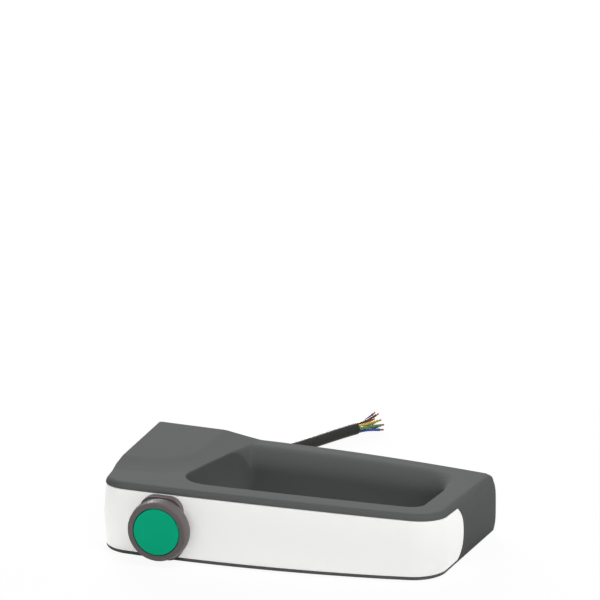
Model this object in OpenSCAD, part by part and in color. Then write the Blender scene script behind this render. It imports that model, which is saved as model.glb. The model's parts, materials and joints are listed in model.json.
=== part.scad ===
// Grip handle for a machine guard door, with a lit front cover and a push button.
// It lies on its flat side: X along the handle, Y from the front to the mounting face, Z up.
// Sizes are in millimetres.

/* [Grip body] */
// Overall length of the handle
length = 171; // [161:1:185]
// Depth from the mounting face to the crest of the front
depth = 94.8; // [92:0.2:102]
// Height of the top face at its crest
height = 36; // [35:0.1:38]
// Plan radius of the bowed front
front_radius = 560; // [480:10:800]
// Place of the crest of the front and of the top along the length
crest_x = -35; // [-45:1:-25]
// Radius of the crown along the top at the front
crown_front = 2400; // [1600:50:4000]
// Radius of the crown along the top at the back
crown_back = 1800; // [1600:50:4000]
// Slope of the top face down to the back, in degrees
back_fall = 2.1; // [1.4:0.1:2.4]
// How far the left end leans in at the front
end_taper = 1.6; // [0:0.2:4]
// Plan radius of the front left corner
left_corner = 16; // [12:0.5:18]
// Plan radius of the front right corner
right_corner = 18; // [14:0.5:22]
// Bulge of the outer wall between the floor and the top
wall_bulge = 1.6; // [0.8:0.1:2]
// Bulge of the wall at the back of the right end
end_bulge = 3.4; // [1:0.1:4]
// Round along the top edge
top_round = 3; // [2:0.1:3.4]
// Round along the top edge of the left end
left_round = 1.4; // [1:0.1:2]
// Round along the bottom edge
bottom_round = 1.6; // [1.2:0.1:1.8]

/* [Finger opening] */
// Thickness of the front bar
bar_thickness = 14.6; // [14:0.2:17]
// Thickness of the right arm
arm_thickness = 13.6; // [12:0.2:16]
// Thickness of the back rail
rail_thickness = 17.8; // [16:0.2:20]
// Width of the left block at the front of the opening
block_front = 35.5; // [34:0.5:38]
// Width of the left block at the back rail
block_back = 48; // [46:0.5:50]
// Radius of the back left corner of the opening
opening_corner = 10; // [8:0.5:11]
// Radius of the back right corner of the opening
rail_corner = 20; // [14:0.5:22]
// Radius of the front left corner of the opening
block_corner = 14.5; // [10:0.5:16]
// Radius of the front right corner of the opening
arm_corner = 8.5; // [6:0.5:10]
// Round along the inner edge of the back rail
rail_round = 10; // [6:0.1:11]
// Distance behind the rail over which that round dies out at the right
rail_fade = 9; // [8:0.5:14]

/* [Raised pad] */
// Height of the left edge of the pad above the crest of the top
pad_rise = 0; // [-0.2:0.1:2]
// Slope of the pad down to the right, in degrees
pad_fall = 0.8; // [0:0.1:2]
// Width of the flat of the pad at its front
pad_front_width = 31.5; // [28:0.5:33]
// Width of the flat of the pad at the mounting face
pad_back_width = 34; // [31:0.5:36]
// Length of the flat of the pad from the mounting face
pad_length = 53.5; // [48:0.5:58]
// Corner radius of the flat of the pad
pad_corner = 20; // [14:0.5:22]
// Width of the slope around the pad
pad_slope = 18; // [14:0.5:19]

/* [Light cover] */
// Wall of the light cover
cover_wall = 2.4; // [2:0.1:2.8]
// Height of the bottom edge of the cover above the floor
cover_low = 2; // [1.8:0.1:3.5]
// Distance of the cover ends from the mounting face, at half height
cover_reach = 46; // [36:1:50]
// How much further the cover ends lie at their tips
cover_tip = 5.5; // [4:0.5:9]
// Clearance around the cover
cover_gap = 0.12; // [0.08:0.02:0.25]

/* [Push button] */
// Distance of the button from the left end
button_inset = 36.5; // [33.5:0.5:38.5]
// Height of the button axis
button_z = 17; // [16.5:0.1:17.6]
// Distance of the cap face from the cover
cap_stand = 9.5; // [9:0.1:11]
// Diameter of the coloured cap
cap_d = 23; // [20:0.5:24]
// Thickness of the cap
cap_thick = 2; // [1.6:0.1:2.2]
// Diameter of the bezel ring
bezel_d = 30.2; // [29.6:0.2:32]
// Length of the bezel ring
bezel_depth = 6.1; // [5.9:0.1:6.6]
// Width of the pedestal behind the bezel
pedestal_w = 21.3; // [21:0.1:24]
// Height of the pedestal behind the bezel
pedestal_h = 31.2; // [30:0.1:31.4]
// Corner radius of the pedestal
pedestal_corner = 7; // [5:0.1:9]
// Stroke of the button
stroke = 3; // [2:0.1:3]
// Diameter of the stem
stem_d = 8; // [6:0.2:8.4]
// Mean diameter of the return spring
spring_d = 11.6; // [10.8:0.2:12]
// Wire diameter of the return spring
spring_wire = 0.9; // [0.6:0.1:1]
// Turns of the return spring
spring_turns = 4; // [3:0.5:5]

/* [Lighting] */
// Place of the middle of the light strip along the length
strip_x = 21; // [16:1:24]
// Length of the light strip
strip_length = 84; // [70:1:88]
// Height of the light strip
strip_height = 18; // [14:0.5:19]
// Thickness of the strip board
strip_board = 1.6; // [1:0.2:2]
// Number of light emitters
led_count = 7; // [4:1:9]

/* [Back and cable] */
// Distance from each end to its mounting insert
insert_inset = 9.5; // [9:0.25:11.5]
// Height of the mounting inserts
insert_z = 15; // [13:0.5:17]
// Bore of the mounting inserts
insert_bore = 4.2; // [3.3:0.1:4.4]
// Length of the mounting inserts
insert_length = 10; // [8:0.5:12]
// Width of the wiring bay in the left block
bay_width = 17; // [16:0.5:18]
// Thickness of the cover plate over the bay
plate_thick = 3; // [2.6:0.1:4]
// Diameter of the cable sheath
cable_d = 5.7; // [5:0.1:6]
// Diameter of a wire
wire_d = 1.3; // [1:0.1:1.5]

/* [Hidden] */
$fn = 64;

// Clearances and small fits
slide_gap = 0.05;
seat_gap = 0.1;
ring_gap = 0.25;
screw_gap = 0.03;
cut = 1;

// Colours
dark_grey = [0.36, 0.37, 0.37];
soft_white = [0.93, 0.93, 0.92];
signal_green = [0.04, 0.60, 0.45];
bezel_grey = [0.33, 0.32, 0.32];
black = [0.12, 0.12, 0.12];
steel = [0.72, 0.73, 0.75];
brass = [0.80, 0.66, 0.35];
board_green = [0.10, 0.35, 0.22];
copper = [0.80, 0.48, 0.30];

// Half length, and the front of the bowed wall at a place along the length
half = length / 2;
function front_y(x) = -depth + front_radius - sqrt(pow(front_radius, 2) - pow(x - crest_x, 2));
function lerp(a, b, t) = a + (b - a) * t;
function top_z(x, y) =
    let (t = (y + depth) / depth)
    height - pow(x - crest_x, 2) / 2 * lerp(1 / crown_front, 1 / crown_back, t) - tan(back_fall) * depth * t;

// The wall bulges along the front; the right end turns in at its top, the left end stands up under the pad
function end_share(p) = p[0] > 0 ? pow((p[1] + depth) / depth, 2) : 0;
function left_share(p) =
    p[0] < -half + left_corner / 2 ? min(max((p[1] + depth) / left_corner - 1, 0), 1) : 0;
function round_at(p) = lerp(top_round, left_round, left_share(p));
function wall_in(p, z) =
    let (u = 2 * z / top_z(p[0], p[1]) - 1, high = max(u, 0))
    lerp(wall_bulge * pow(u, 2), (u > 0 ? end_bulge : wall_bulge) * pow(u, 4), end_share(p))
        - wall_bulge * pow(high, 2) * left_share(p);

// The box around the handle and its button is centred on the origin in plan
button_x = -half + button_inset;
cap_face = front_y(button_x) - cap_stand;
back_y = -cap_face / 2;

// Outlines with rounded corners; a corner is [x, y, radius]
corner_steps = 8;
full_turn = 360;
function unit(v) = v / norm(v);
function plan(v) = [v[0], v[1]];
function heading(v) = atan2(v[1], v[0]);
function short_turn(t) = t > full_turn / 2 ? t - full_turn : (t < -full_turn / 2 ? t + full_turn : t);
function corner_arc(a, b, c) =
    let (p = plan(b), u = unit(plan(a) - p), w = unit(plan(c) - p), r = b[2])
    r == 0 ? [p] :
    let (
        lean = acos(u * w) / 2,
        centre = p + unit(u + w) * r / sin(lean),
        start = heading(p + u * r / tan(lean) - centre),
        turn = short_turn(heading(p + w * r / tan(lean) - centre) - start)
    )
    [for (k = [0:corner_steps])
        let (t = start + turn * k / corner_steps) centre + r * [cos(t), sin(t)]];
function rounded(pts) =
    let (n = len(pts))
    [for (i = [0:n - 1]) each corner_arc(pts[(i + n - 1) % n], pts[i], pts[(i + 1) % n])];

// Plan outline of the grip, counter-clockwise from the back left
front_steps = 10;
back_steps = 6;
corner_room = 9;
left_front = -half + end_taper;
arc_start = left_front + left_corner + corner_room;
arc_end = half - right_corner - corner_room;
outline = rounded(concat(
    [[-half, 0, 0], [left_front, front_y(left_front), left_corner]],
    [for (k = [0:front_steps]) let (x = lerp(arc_start, arc_end, k / front_steps)) [x, front_y(x), 0]],
    [[half, front_y(half), right_corner], [half, 0, 0]],
    [for (k = [1:back_steps - 1]) [lerp(half, -half, k / back_steps), 0, 0]]
));
count = len(outline);
function on_back(p) = p[1] > -cut;
function inward(i) =
    let (p = outline[i])
    on_back(p) ? (abs(p[0]) > half - cut ? [-sign(p[0]), 0] : [0, 0]) :
    let (d = unit(outline[(i + 1) % count] - outline[(i + count - 1) % count])) [-d[1], d[0]];
function at(p, n, d, z) = [p[0] + n[0] * d, p[1] + n[1] * d, z];

// Rings of the outer skin, from the floor to the top
function floor_ring(a) = [for (i = [0:count - 1])
    let (p = outline[i], base = wall_in(p, bottom_round))
    at(p, inward(i), base + bottom_round * (1 - sin(a)), bottom_round * (1 - cos(a)))];
function wall_ring(f) = [for (i = [0:count - 1])
    let (p = outline[i], z = lerp(bottom_round, top_z(p[0], p[1]) - round_at(p), f))
    at(p, inward(i), wall_in(p, z), z)];
function top_ring(a) = [for (i = [0:count - 1])
    let (p = outline[i], r = round_at(p), low = top_z(p[0], p[1]) - r)
    at(p, inward(i), wall_in(p, low) + r * (1 - cos(a)), low + r * sin(a))];
middle = [12, -depth / 2];
function inner_ring(f) = [for (p = outline)
    let (q = middle + (p - middle) * f) [q[0], q[1], top_z(q[0], q[1])]];
function level_ring(f, z) = [for (p = outline)
    let (q = middle + (p - middle) * f) [q[0], q[1], z]];

// A closed skin over rings of equal length; the caps are flat, or strips on a C-shaped ring
module loft(rings, strip = false) {
    n = len(rings[0]);
    m = len(rings);
    strips = [for (i = [0:n / 2 - 2]) each
        [[i, i + 1, n - 2 - i], [i, n - 2 - i, n - 1 - i]]];
    // A flat cap fans out from the front, so that points in line along the back span no empty face
    first = floor(n / 3);
    low = strip ? strips : [[for (i = [0:n - 1]) (i + first) % n]];
    high = [for (f = low) [for (k = [len(f) - 1:-1:0]) f[k] + (m - 1) * n]];
    sides = [for (k = [0:m - 2], i = [0:n - 1]) let (j = (i + 1) % n) each
        [[k * n + i, (k + 1) * n + i, (k + 1) * n + j], [k * n + i, (k + 1) * n + j, k * n + j]]];
    polyhedron([for (r = rings) each r], concat(low, sides, high));
}

module finish(c) {
    color(c) translate([0, back_y, 0]) children();
}

// A round bar along Y from its front end to its back end
module bar(x, z, front, back, d) {
    translate([x, back, z]) rotate([90, 0, 0]) cylinder(d = d, h = back - front);
}

// A flat outline in X and Z carried along Y
module slab(x, z, front, back) {
    translate([x, back, z]) rotate([90, 0, 0]) linear_extrude(back - front) children();
}

// A box given by its corners
module block(low, high) {
    translate(low) cube(high - low);
}

// Outer skin of the handle with the raised pad
round_steps = [0, 22.5, 45, 67.5, 90];
pad_root = height / 2;
pad_sink = 0.05;
function pad_z(x) = height + pad_rise - tan(pad_fall) * (x + half);
function left_x(y) = -half + end_taper * -y / depth;
pad_flat = rounded([
    [left_x(0), 0, 0],
    [left_x(-pad_length), -pad_length, 0],
    [-half + pad_front_width, -pad_length, pad_corner],
    [-half + pad_back_width, 0, 0]
]);
pad_foot_y = -pad_length - pad_slope;
pad_foot = rounded([
    [left_x(0), 0, 0],
    [left_x(pad_foot_y) + left_round, pad_foot_y, 0],
    [-half + pad_front_width + pad_slope / 2, pad_foot_y, pad_corner + pad_slope / 2],
    [-half + pad_back_width + pad_slope, 0, 0]
]);

module outer_skin() {
    loft(concat(
        [for (a = [0, 30, 60]) floor_ring(a)],
        [for (f = [0, 0.25, 0.5, 0.75]) wall_ring(f)],
        [for (a = round_steps) top_ring(a)],
        [inner_ring(0.6), inner_ring(0.28), level_ring(0.2, height - top_round)]
    ));
    loft([
        [for (p = pad_foot) [p[0], p[1], pad_root]],
        [for (p = pad_foot) [p[0], p[1], top_z(p[0], p[1]) - pad_sink]],
        [for (p = pad_flat) [p[0], p[1], pad_z(p[0])]]
    ]);
}

// Finger opening with the rolled edge along the back rail
opening_left = -half + block_front;
opening_rail = -half + block_back;
opening_right = half - arm_thickness;
function bar_y(x) = front_y(x) + bar_thickness;
opening_start = opening_left + block_corner + corner_room;
opening_end = opening_right - arm_corner - corner_room;
opening_steps = 6;
opening = rounded(concat(
    [[opening_left, bar_y(opening_left), block_corner]],
    [for (k = [0:opening_steps])
        let (x = lerp(opening_start, opening_end, k / opening_steps)) [x, bar_y(x), 0]],
    [[opening_right, bar_y(opening_right), arm_corner],
        [opening_right, -rail_thickness, rail_corner],
        [opening_rail, -rail_thickness, opening_corner]]
));
opening_count = len(opening);
function outward(i) =
    let (d = unit(opening[(i + 1) % opening_count] - opening[(i + opening_count - 1) % opening_count]))
    [d[1], -d[0]];
function roll_share(p) =
    let (
        reach = p[0] > middle[0] ? rail_fade : opening_corner,
        w = max(0, 1 + (p[1] + rail_thickness) / reach)
    )
    w * w * (3 - 2 * w);
function roll_ring(a) = [for (i = [0:opening_count - 1])
    let (p = opening[i], side = roll_share(p) * rail_round * (1 - cos(a)))
    at(p, outward(i), side, top_z(p[0], p[1]) - rail_round * (1 - sin(a)))];

module finger_opening() {
    loft(concat(
        [[for (p = opening) [p[0], p[1], -cut]]],
        [for (a = round_steps) roll_ring(a)],
        [[for (p = roll_ring(90)) [p[0], p[1], height + pad_rise + 4 * cut]]]
    ));
}

// The curved strip that the light cover fills; its stations lie midway between those of the skin
cover_base = [for (i = [0:count - 2])
    if (max(outline[i][1], outline[i + 1][1]) < -cover_reach - cover_tip - cut) i];
function midway(i) = (outline[i] + outline[i + 1]) / 2;
function facing(i) = let (d = unit(outline[i + 1] - outline[i])) [-d[1], d[0]];
function cover_z(p, f, gap) =
    lerp(cover_low - gap, top_z(p[0], p[1]) - round_at(p) + gap, f);
function cover_end(f, gap) = -cover_reach - cover_tip * pow(abs(2 * f - 1), 3) + gap;
function cover_point(p, n, f, d, gap) =
    let (z = cover_z(p, f, gap)) at(p, n, wall_in(p, z) + d, z);
function cover_row(f, d, gap) = concat(
    [cover_point([left_x(cover_end(f, gap)), cover_end(f, gap)], facing(0), f, d, gap)],
    [for (i = cover_base) cover_point(midway(i), facing(i), f, d, gap)],
    [cover_point([half, cover_end(f, gap)], [-1, 0], f, d, gap)]
);
function backwards(v) = [for (k = [len(v) - 1:-1:0]) v[k]];
cover_levels = [0, 0.15, 0.5, 0.85, 1];

module cover_strip(outer, inner, gap) {
    loft([for (f = cover_levels)
        concat(cover_row(f, outer, gap), backwards(cover_row(f, inner, gap)))], true);
}

// Places along the button axis, from the cap to the contact block
cover_face = front_y(button_x);
bezel_front = cap_face + 0.4;
bezel_back = bezel_front + bezel_depth;
seat_y = cover_face + cover_wall + cover_gap;
spigot_d = 19;
spigot_length = 2.5;
spigot_back = seat_y + spigot_length;
groove_d = spigot_d - 1.6;
groove_width = 1.2;
groove_front = seat_y + 0.5;
well_floor = seat_y + spigot_length + stroke + 5;
plate_front = spigot_back + ring_gap;
push_thick = 2;
push_d = spigot_d - 1;
spring_seat = bezel_back + 4.2;
screw_rise = pedestal_h / 2 - 3.6;
small_screw = 2.2;
small_head = 3.8;
small_depth = 9;

// Wiring bay behind the left part of the well
bay_right = button_x - 3;
bay_left = bay_right - bay_width;
bay_x = (bay_left + bay_right) / 2;
bay_height = 18;
bay_low = button_z - bay_height / 2;
bay_high = button_z + bay_height / 2;
bay_front = well_floor - 2;
plate_side = 2.2;
plate_end = 4.6;
plate_screw_rise = bay_height / 2 + 2.4;
plate_screw_depth = 8;

// Light channel behind the cover, square to the bow of the front at its middle
strip_turn = asin((strip_x - crest_x) / front_radius);
channel_floor = cover_wall + 6.6;
channel_room = 0.3;
strip_low = button_z - strip_height / 2;
module on_strip() {
    translate([strip_x, front_y(strip_x), 0]) rotate([0, 0, strip_turn]) children();
}
board_screw_x = strip_length / 2 - 4;

// Mounting inserts in the back
insert_d = insert_bore + 2.8;
insert_spacing = length - 2 * insert_inset;
module at_inserts() {
    for (side = [-1, 1]) translate([side * insert_spacing / 2, 0, insert_z]) children();
}

grommet_d = cable_d + 5;
cable_x = bay_x;
cable_z = 17;

module grip_body() {
    finish(dark_grey) difference() {
        outer_skin();
        finger_opening();
        cover_strip(-3 * cut, cover_wall + cover_gap, cover_gap);
        // Light channel and its screw holes
        on_strip() {
            block([-strip_length / 2 - channel_room, cover_wall - cut, strip_low - channel_room],
                [strip_length / 2 + channel_room, channel_floor, strip_low + strip_height + channel_room]);
            for (side = [-1, 1])
                bar(side * board_screw_x, button_z, channel_floor - cut, channel_floor + 5, small_screw);
        }
        // Button well and the holes for the screws of its housing
        bar(button_x, button_z, seat_y - cut, well_floor, spigot_d + 2 * seat_gap);
        for (side = [-1, 1])
            bar(button_x, button_z + side * screw_rise, seat_y - cut, seat_y + small_depth, small_screw);
        // Wiring bay, with a ledge for its cover plate and the plate's screw holes
        block([bay_left, bay_front, bay_low], [bay_right, cut, bay_high]);
        block([bay_left - plate_side, -plate_thick, bay_low - plate_end],
            [bay_right + plate_side, cut, bay_high + plate_end]);
        for (side = [-1, 1])
            bar(bay_x, button_z + side * plate_screw_rise, -plate_thick - plate_screw_depth, cut,
                small_screw);
        // Pockets for the mounting inserts
        at_inserts() bar(0, 0, -insert_length - cut, cut, insert_d + 2 * screw_gap);
    }
}

module light_cover() {
    finish(soft_white) difference() {
        cover_strip(0, cover_wall, 0);
        bar(button_x, button_z, cover_face - cut, seat_y + cut, spigot_d + 2 * seat_gap);
        for (side = [-1, 1])
            bar(button_x, button_z + side * screw_rise, cover_face - cut, seat_y + cut, small_screw + 0.6);
    }
}

module led_board() {
    finish(board_green) on_strip() difference() {
        block([-strip_length / 2, channel_floor - strip_board, strip_low],
            [strip_length / 2, channel_floor, strip_low + strip_height]);
        for (side = [-1, 1])
            bar(side * board_screw_x, button_z, channel_floor - strip_board - cut,
                channel_floor + cut, small_screw + 0.4);
    }
}

led_size = 3.5;
led_rise = 1.2;
module led_emitters() {
    first = -strip_length / 2 + 12;
    finish(soft_white) on_strip() for (k = [0:led_count - 1])
        translate([lerp(first, -first, k / (led_count - 1)), channel_floor - strip_board, button_z]) {
            block([-led_size / 2, -led_rise, -led_size / 2], [led_size / 2, 0, led_size / 2]);
            bar(0, 0, -led_rise - 0.4, -led_rise + 0.1, led_size - 0.9);
        }
}

// A screw along Y: a rounded head in front of its seat and a shank behind it
module small_fastener(seat, shank) {
    head = 1.5;
    translate([0, seat, 0]) rotate([90, 0, 0]) difference() {
        union() {
            cylinder(d = small_head, h = head);
            translate([0, 0, -shank]) cylinder(d = small_screw - 2 * screw_gap, h = shank + head / 2);
        }
        translate([-small_head, -0.3, head - 0.6]) cube([2 * small_head, 0.6, head]);
    }
}

module board_screws() {
    finish(steel) on_strip() for (side = [-1, 1])
        translate([side * board_screw_x, 0, button_z])
            small_fastener(channel_floor - strip_board, 5.5);
}

// Pedestal of the button with the spigot that enters the body
module pedestal_outline() {
    polygon(rounded([for (s = [[-1, -1], [1, -1], [1, 1], [-1, 1]])
        [s[0] * pedestal_w / 2, s[1] * pedestal_h / 2, pedestal_corner]]));
}
saddle_r = pow(height / 2, 2) / (2 * wall_bulge);
saddle_x = min(max(crest_x, button_x - pedestal_w / 2), button_x + pedestal_w / 2);
saddle_face = front_y(saddle_x) - slide_gap;
head_pocket = 2;
module button_housing() {
    finish(bezel_grey) difference() {
        union() {
            difference() {
                slab(button_x, button_z, bezel_back, cover_face + cover_wall) pedestal_outline();
                translate([button_x - length, saddle_face + saddle_r, height / 2])
                    rotate([0, 90, 0]) cylinder(r = saddle_r, h = 2 * length, $fn = 128);
            }
            bar(button_x, button_z, cover_face - cut, spigot_back, spigot_d);
        }
        bar(button_x, button_z, bezel_back - cut, spigot_back + cut, stem_d + 2 * slide_gap);
        bar(button_x, button_z, bezel_back - cut, spring_seat, spring_d + spring_wire + 1);
        seal_ring(spigot_d + cut, groove_d, groove_front, groove_front + groove_width);
        for (side = [-1, 1]) translate([button_x, 0, button_z + side * screw_rise]) {
            bar(0, 0, bezel_back - cut, seat_y, small_screw + 0.4);
            bar(0, 0, bezel_back - cut, bezel_back + head_pocket, small_head + 0.4);
        }
    }
}

// Square seal ring in its groove around the spigot
module seal_ring(outer, inner, front, back) {
    difference() {
        bar(button_x, button_z, front, back, outer);
        bar(button_x, button_z, front - cut, back + cut, inner);
    }
}
module housing_seal() {
    finish(black) seal_ring(spigot_d + 2 * seat_gap - 2 * screw_gap, groove_d + 2 * screw_gap,
        groove_front + screw_gap, groove_front + groove_width - screw_gap);
}

module housing_screws() {
    finish(steel) for (side = [-1, 1])
        translate([button_x, 0, button_z + side * screw_rise])
            small_fastener(bezel_back + head_pocket, seat_y - bezel_back - head_pocket + small_depth - 1);
}

// Bezel ring: a turned section with a flat face inside a rounded rim, flared sides and a back web
bezel_web = 1;
bezel_rim = 0.8;
bezel_flare = 0.6;
bezel_belt = 1.6;
module bezel_ring() {
    inner = cap_d / 2 + ring_gap;
    outer = bezel_d / 2;
    front = outer - bezel_flare;
    hole = spring_d / 2 + spring_wire + 0.6;
    finish(bezel_grey) translate([button_x, bezel_back, button_z]) rotate([90, 0, 0])
        rotate_extrude($fn = 96) union() {
            polygon([
                [inner, 0], [outer - bezel_rim, 0], [outer, bezel_rim], [outer, bezel_rim + bezel_belt],
                [front, bezel_depth - bezel_rim], [front - bezel_rim, bezel_depth - bezel_rim],
                [front - bezel_rim, bezel_depth], [inner, bezel_depth]
            ]);
            translate([front - bezel_rim, bezel_depth - bezel_rim]) circle(r = bezel_rim);
            translate([hole, 0]) square([inner - hole + bezel_rim, bezel_web]);
        }
}

module button_cap() {
    bevel = 0.4;
    finish(signal_green) translate([button_x, cap_face + cap_thick, button_z]) rotate([90, 0, 0])
        rotate_extrude($fn = 96) polygon([
            [0, 0], [cap_d / 2, 0], [cap_d / 2, cap_thick - bevel],
            [cap_d / 2 - bevel, cap_thick], [0, cap_thick]
        ]);
}

module button_stem() {
    finish(black) bar(button_x, button_z, cap_face + cap_thick, plate_front, stem_d);
}

module push_plate() {
    finish(black) bar(button_x, button_z, plate_front, plate_front + push_thick, push_d);
}

// Return spring: a round wire swept along a helix
spring_sides = 6;
coil_steps = 12;
module return_spring() {
    front = cap_face + cap_thick + spring_wire / 2 + slide_gap;
    back = spring_seat - spring_wire / 2 - slide_gap;
    rings = round(spring_turns * coil_steps);
    finish(steel) translate([button_x, 0, button_z]) loft([for (k = [0:rings])
        let (t = full_turn * k / coil_steps, y = lerp(front, back, k / rings))
        [for (s = [0:spring_sides - 1]) let (
                a = -full_turn * s / spring_sides,
                r = spring_d / 2 + spring_wire / 2 * cos(a)
            )
            [r * cos(t), y + spring_wire / 2 * sin(a), r * sin(t)]]]);
}

// Contact block in the bay; its plunger follows the push plate
contact_front = bay_front + 3;
contact_length = 24;
contact_room = 1.5;
plunger_d = 3;
plunger_x = bay_right - contact_room - plunger_d;
plunger_back = contact_front + 4;
module contact_block() {
    finish(black) difference() {
        union() {
            block([bay_left + contact_room, contact_front, bay_low],
                [bay_right - contact_room, contact_front + contact_length, bay_high - contact_room]);
            block([bay_left + contact_room, contact_front + contact_length / 3, bay_low],
                [bay_right - contact_room, contact_front + contact_length * 2 / 3, bay_high]);
        }
        bar(plunger_x, button_z, contact_front - cut, plunger_back + stroke + 1, plunger_d + 2 * slide_gap);
        for (side = [-1, 1])
            bar(bay_x, button_z + side * terminal_rise, contact_front + contact_length - terminal_depth,
                contact_front + contact_length + cut, small_head + 0.6);
    }
}

module contact_plunger() {
    finish(soft_white) bar(plunger_x, button_z, plate_front + push_thick, plunger_back, plunger_d);
}

terminal_rise = 5;
terminal_depth = 5;
module terminal_screws() {
    head = 2;
    finish(brass) for (side = [-1, 1])
        translate([bay_x, contact_front + contact_length - terminal_depth, button_z + side * terminal_rise])
            difference() {
                bar(0, 0, 0, head, small_head);
                block([-small_head, head - 0.7, -0.35], [small_head, head + cut, 0.35]);
            }
}

// Plate over the wiring bay, flush with the mounting face
module bay_plate() {
    finish(dark_grey) difference() {
        block([bay_left - plate_side + seat_gap, -plate_thick, bay_low - plate_end + seat_gap],
            [bay_right + plate_side - seat_gap, 0, bay_high + plate_end - seat_gap]);
        bar(cable_x, cable_z, -plate_thick - cut, cut, grommet_d + 2 * screw_gap);
        for (side = [-1, 1]) translate([bay_x, 0, button_z + side * plate_screw_rise]) {
            bar(0, 0, -plate_thick - cut, cut, small_screw + 0.4);
            bar(0, 0, -plate_head, cut, small_head + 0.4);
        }
    }
}

plate_head = 1.8;
module bay_plate_screws() {
    finish(steel) for (side = [-1, 1])
        translate([bay_x, -plate_head, button_z + side * plate_screw_rise])
            mirror([0, 1, 0]) small_fastener(0, plate_thick - plate_head + plate_screw_depth - 1);
}

// Grommet with a flange inside the plate
module cable_grommet() {
    flange = 1.5;
    finish(black) translate([cable_x, 0, cable_z]) rotate([90, 0, 0]) difference() {
        union() {
            cylinder(d = grommet_d, h = plate_thick);
            translate([0, 0, plate_thick]) cylinder(d = grommet_d + 3, h = flange);
        }
        translate([0, 0, -cut]) cylinder(d = cable_d + 2 * slide_gap, h = plate_thick + flange + 2 * cut);
    }
}

module threaded_inserts() {
    finish(brass) at_inserts() difference() {
        bar(0, 0, -insert_length, 0, insert_d);
        bar(0, 0, -insert_length - cut, cut, insert_bore);
    }
}

// Route of the cable, from the bay to its stripped end on the floor
cable_route = [
    [-60.5, -5, 17], [-60.5, 1, 17], [-60.5, 7, 17], [-60.4, 14, 16.8], [-60, 21, 16.2],
    [-59.2, 29, 14.6], [-57.9, 37, 12.2], [-56.2, 44.5, 9.6], [-54, 52, 7.2], [-51.3, 60, 5.2],
    [-48.2, 68, 3.8], [-44.8, 76, 3.1], [-41.2, 84, 2.9], [-37.6, 92, 2.9], [-34, 100, 2.9],
    [-30.5, 107.5, 2.9], [-26.9, 114.5, 2.9]
];
// Where each wire ends, counted around the cable: along it, to its right and up from its middle
wire_ends = [
    [14, 3, -0.8], [13.6, 1.6, 1.2], [13.4, -0.5, 3.6], [12.8, -2.2, 3.8],
    [12.6, -3.2, 1.6], [12.6, -2.8, -0.8], [12.6, 0.4, -1.8], [11.2, 4.4, -1.9]
];
wire_colours = [
    [0.25, 0.50, 0.20], [0.85, 0.75, 0.15], [0.35, 0.12, 0.14], [0.45, 0.30, 0.55],
    [0.70, 0.58, 0.60], [0.60, 0.22, 0.15], [0.12, 0.12, 0.12], [0.15, 0.30, 0.65]
];

// A round tube swept along a route
function along(r, i) =
    unit(r[min(i + 1, len(r) - 1)] - r[max(i - 1, 0)]);
function tube_rings(r, d, sides) = [for (i = [0:len(r) - 1])
    let (t = along(r, i), side = unit(cross(t, [0, 0, 1])), up = cross(side, t))
    [for (s = [0:sides - 1]) let (a = full_turn * s / sides)
        r[i] + d / 2 * (side * cos(a) + up * sin(a))]];
module tube(r, d, sides) {
    loft(tube_rings(r, d, sides));
}

module cable_sheath() {
    finish(dark_grey) tube(cable_route, cable_d, 10);
}

cable_end = cable_route[len(cable_route) - 1];
end_heading = along(cable_route, len(cable_route) - 1);
end_side = unit(cross(end_heading, [0, 0, 1]));
bundle_r = cable_d / 2 - wire_d / 2 - 0.2;
tip_length = 2.5;
// The wires leave the cable side by side, then fan out
function wire_angle(k) = full_turn * k / len(wire_ends);
function wire_route(k) =
    let (
        up = [0, 0, 1],
        a = cable_end + bundle_r * (end_side * cos(wire_angle(k)) + up * sin(wire_angle(k))),
        s = a + end_heading * wire_d,
        m = a + end_heading * wire_ends[k][0] / 2,
        b = cable_end + end_heading * wire_ends[k][0] + end_side * wire_ends[k][1] + up * wire_ends[k][2]
    )
    concat([a], [for (t = [0, 0.33, 0.66, 1]) lerp(lerp(s, m, t), lerp(m, b, t), t)]);
module wire(k) {
    finish(wire_colours[k]) tube(wire_route(k), wire_d, 8);
}
module wire_green() { wire(0); }
module wire_yellow() { wire(1); }
module wire_maroon() { wire(2); }
module wire_violet() { wire(3); }
module wire_pink() { wire(4); }
module wire_red() { wire(5); }
module wire_black() { wire(6); }
module wire_blue() { wire(7); }

module wire_tips() {
    finish(copper) for (k = [0:len(wire_ends) - 1]) {
        r = wire_route(k);
        tip = r[len(r) - 1];
        tube([tip, tip + along(r, len(r) - 1) * tip_length], wire_d - 0.4, 8);
    }
}

grip_body();
light_cover();
led_board();
led_emitters();
board_screws();
button_housing();
housing_seal();
housing_screws();
bezel_ring();
button_cap();
button_stem();
push_plate();
return_spring();
contact_block();
contact_plunger();
terminal_screws();
bay_plate();
bay_plate_screws();
cable_grommet();
threaded_inserts();
cable_sheath();
wire_green();
wire_yellow();
wire_maroon();
wire_violet();
wire_pink();
wire_red();
wire_black();
wire_blue();
wire_tips();
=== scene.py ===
import json
import math

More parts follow.
